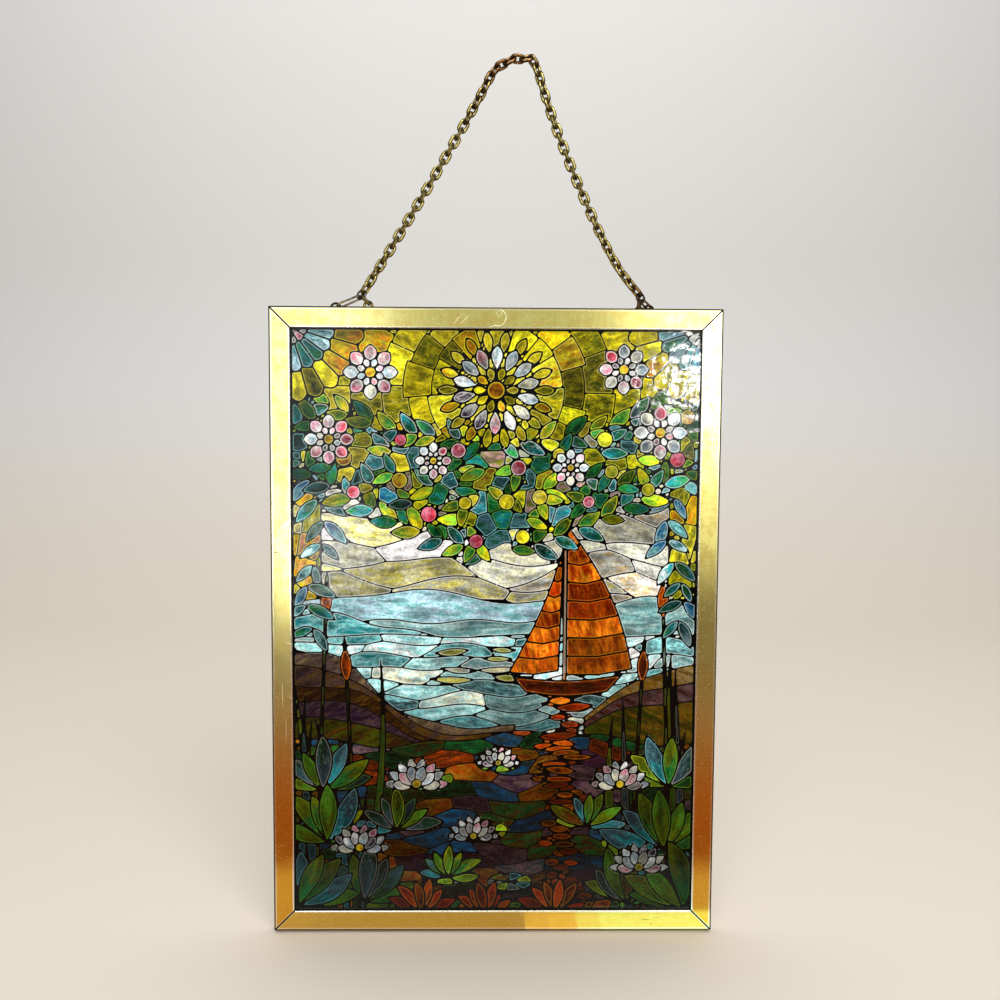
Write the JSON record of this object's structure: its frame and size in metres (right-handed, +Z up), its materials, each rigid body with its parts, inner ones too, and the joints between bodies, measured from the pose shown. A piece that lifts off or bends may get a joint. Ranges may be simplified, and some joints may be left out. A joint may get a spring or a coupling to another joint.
{
  "type": "stained glass suncatcher",
  "caption": "Framed stained glass suncatcher: a printed glass pane in a mitred brass channel frame, hung by an oval link chain from wire eyes behind its top rail.",
  "frame": {"origin": "the hang point: the underside of the chain's top run, where a hook carries it", "axes": "+X to the viewer's right along the rails, +Y away from the viewer, +Z up"},
  "size_m": [0.216, 0.0097, 0.424],
  "materials": {
    "frame_brass": "brushed along each rail, lacquered, lightly scratched",
    "printed_glass": "glossy gently rippled front, translucent picture with black lines printed behind",
    "chain_brass": "olive gold, dark tarnish where the links meet, copper tint at the top",
    "fitting_metal": "worn silver and brown wire"
  },
  "bodies": {
    "root": {"top_rail": "frame_brass", "bottom_rail": "frame_brass", "left_rail": "frame_brass", "right_rail": "frame_brass", "glass_pane": "printed_glass", "left_eye": "fitting_metal", "right_eye": "fitting_metal", "left_long_link": "fitting_metal", "right_long_link": "fitting_metal", "left_ring": "fitting_metal", "right_ring": "fitting_metal", "left_spare_links": "chain_brass", "right_spare_links": "chain_brass", "chain_links_01": "chain_brass", "chain_links_02": "chain_brass", "chain_links_03": "chain_brass", "chain_links_04": "chain_brass", "chain_links_05": "chain_brass", "chain_links_06": "chain_brass", "chain_links_07": "chain_brass", "chain_links_08": "chain_brass", "chain_links_09": "chain_brass", "chain_links_10": "chain_brass", "chain_links_11": "chain_brass", "chain_links_12": "chain_brass", "chain_links_13": "chain_brass", "chain_links_14": "chain_brass", "chain_links_15": "chain_brass", "chain_links_16": "chain_brass", "chain_links_17": "chain_brass", "chain_links_18": "chain_brass", "chain_links_19": "chain_brass", "chain_links_20": "chain_brass", "chain_links_21": "chain_brass", "chain_links_22": "chain_brass", "chain_links_23": "chain_brass", "chain_links_24": "chain_brass", "chain_links_25": "chain_brass", "chain_links_26": "chain_brass", "chain_links_27": "chain_brass", "chain_links_28": "chain_brass", "chain_links_29": "chain_brass", "chain_links_30": "chain_brass", "chain_links_31": "chain_brass"}
  },
  "joints": []
}
